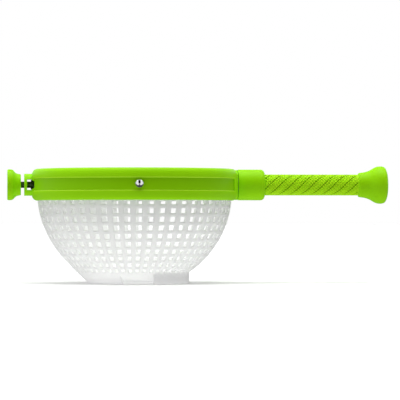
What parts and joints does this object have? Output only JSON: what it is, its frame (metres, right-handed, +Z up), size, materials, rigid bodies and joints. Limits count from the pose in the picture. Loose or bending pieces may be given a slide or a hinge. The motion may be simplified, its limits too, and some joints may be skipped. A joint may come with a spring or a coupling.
{
  "type": "salad spinner",
  "caption": "Hand-pumped salad spinner: perforated bowl with a hinged lid in a ring frame that spins between a pivot knob and a pump grip on a spiral shaft.",
  "frame": {"origin": "centre of the whole part's footprint, on the surface that the bowl's feet stand on", "axes": "+X along the spin axis from the pivot knob to the grip's end, +Z up, -Y towards the latch button"},
  "size_m": [0.4192, 0.2365, 0.1282],
  "materials": {
    "white_plastic": "satin",
    "lime_plastic": "gloss",
    "lime_grip": "satin, diamond textured",
    "steel": "brushed",
    "bright_steel": "polished",
    "nylon": "satin",
    "dark_rubber": "matte"
  },
  "bodies": {
    "basket": {"bowl": "white_plastic", "frame_ring": "lime_plastic", "hinge_pin": "steel", "pivot_pin": "steel", "pivot_clip": "steel", "drive_hub": "nylon", "hub_screws": "steel", "collar_clip": "steel", "clutch_cup": "steel", "clutch_washer": "nylon", "latch_spring": "steel"},
    "lid": {"lid_ring": "lime_plastic", "lid_panel": "white_plastic", "panel_screws": "steel", "catch_plate": "steel"},
    "latch": {"latch_button": "bright_steel", "latch_disc": "steel"},
    "pivot_foot": {"pivot_knob": "lime_plastic", "pivot_bush": "nylon", "pivot_pad": "dark_rubber"},
    "swivel_collar": {"collar": "lime_plastic", "collar_bush": "nylon"},
    "grip": {"grip_sleeve": "lime_grip", "grip_tube": "nylon", "drive_nut": "nylon", "end_knob": "lime_plastic", "knob_cap": "lime_plastic", "knob_screw": "steel", "tube_plug": "nylon"},
    "drive_shaft": {"spiral_shaft": "nylon", "clutch_cam": "nylon", "clutch_rollers": "steel", "shaft_stop": "nylon", "stop_screw": "steel"}
  },
  "joints": [
    {"name": "lid_hinge", "type": "hinge", "parent": "basket", "child": "lid", "pos_m": [-0.0701, 0.116, 0.114], "axis": [-1, 0, 0], "range_deg": [0, 115]},
    {"name": "latch_press", "type": "slide", "parent": "basket", "child": "latch", "axis": [0, 1, 0], "range_m": [0, 0.0018], "stiffness_N_per_m": 400, "springref_m": -0.002, "deforming": ["latch_spring"]},
    {"name": "pivot_swivel", "type": "hinge", "parent": "basket", "child": "pivot_foot", "pos_m": [-0.2, 0, 0.1075], "axis": [1, 0, 0], "continuous": true},
    {"name": "basket_spin", "type": "hinge", "parent": "basket", "child": "swivel_collar", "pos_m": [0.05, 0, 0.1075], "axis": [1, 0, 0], "continuous": true},
    {"name": "grip_pump", "type": "slide", "parent": "swivel_collar", "child": "grip", "axis": [1, 0, 0], "range_m": [0, 0.085]},
    {"name": "shaft_turn", "type": "hinge", "parent": "swivel_collar", "child": "drive_shaft", "pos_m": [0.1, 0, 0.1075], "axis": [-1, 0, 0], "range_deg": [0, 720]}
  ],
  "couplings": [
    {"joint": "shaft_turn", "follows": "grip_pump", "rad_per_m": 147.84}
  ]
}
